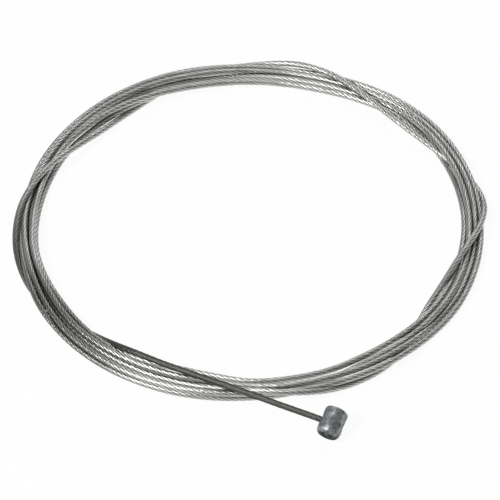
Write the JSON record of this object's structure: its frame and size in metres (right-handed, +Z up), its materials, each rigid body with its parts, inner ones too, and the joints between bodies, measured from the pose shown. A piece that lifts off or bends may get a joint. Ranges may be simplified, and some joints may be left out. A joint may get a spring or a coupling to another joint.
{
  "type": "brake inner cable",
  "caption": "Stranded steel brake inner cable for a bicycle, coiled loosely, with a cast zinc barrel nipple on one end.",
  "frame": {"origin": "middle of the base of the box round the coil and the nipple, on the ground that they lie on", "axes": "+Z up, the axis of the coil; +Y from the nipple, in front, to the back of the coil; +X to the right"},
  "size_m": [0.1234, 0.137, 0.0076],
  "materials": {
    "stranded_steel": "bright drawn steel wires, lightly oiled",
    "cast_zinc": "die-cast zinc alloy, dull grey with a soft sheen"
  },
  "bodies": {
    "root": {"barrel_end": "cast_zinc", "coil": "stranded_steel", "free_end": "stranded_steel"}
  },
  "joints": []
}
